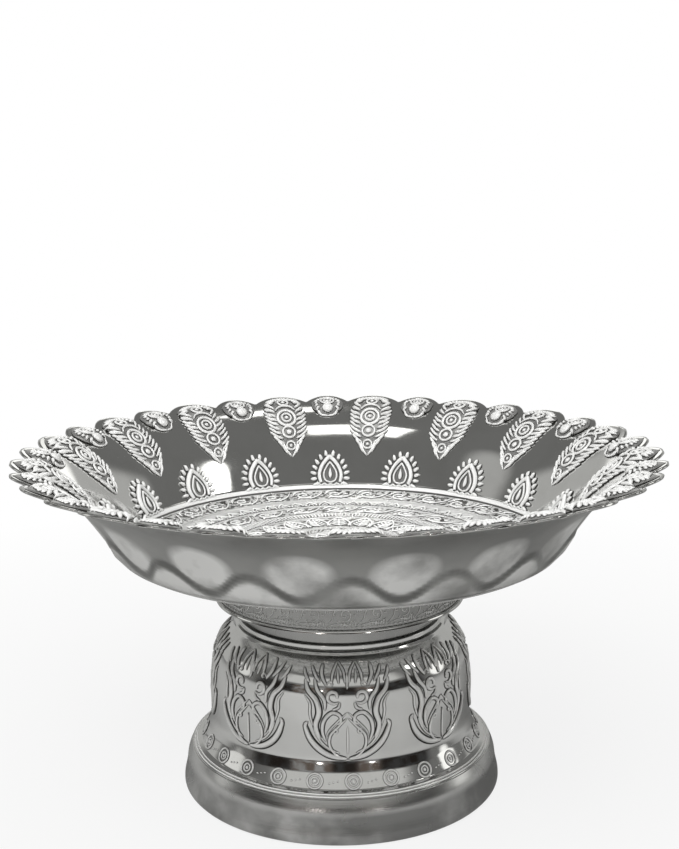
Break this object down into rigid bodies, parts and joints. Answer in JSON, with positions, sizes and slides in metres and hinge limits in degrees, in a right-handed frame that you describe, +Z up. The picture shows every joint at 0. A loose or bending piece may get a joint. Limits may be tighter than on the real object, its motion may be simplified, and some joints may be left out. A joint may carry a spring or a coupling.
{
  "type": "pedestal offering tray",
  "caption": "Round pedestal offering tray: a stamped aluminium bowl with a lobed, petal-embossed rim on a hollow flared foot with raised rosettes.",
  "frame": {"origin": "centre of the foot's rest plane, under the axis of the tray", "axes": "+Z up along the axis of bowl and pedestal, -Y towards the viewer of the picture, +X to the viewer's right"},
  "size_m": [0.2404, 0.2404, 0.1343],
  "materials": {
    "bowl_mirror": "polished mirror inside with embossed ornament, satin underneath",
    "collar_stamped": "bright stamped, finely engraved",
    "pedestal_mirror": "polished mirror drum with embossed ornament, satin foot band",
    "rivet_plain": "plain, lightly brushed",
    "washer_plain": "plain, dull"
  },
  "bodies": {
    "root": {"bowl": "bowl_mirror", "collar": "collar_stamped", "pedestal": "pedestal_mirror", "centre_rivet": "rivet_plain", "backing_washer": "washer_plain"}
  },
  "joints": []
}
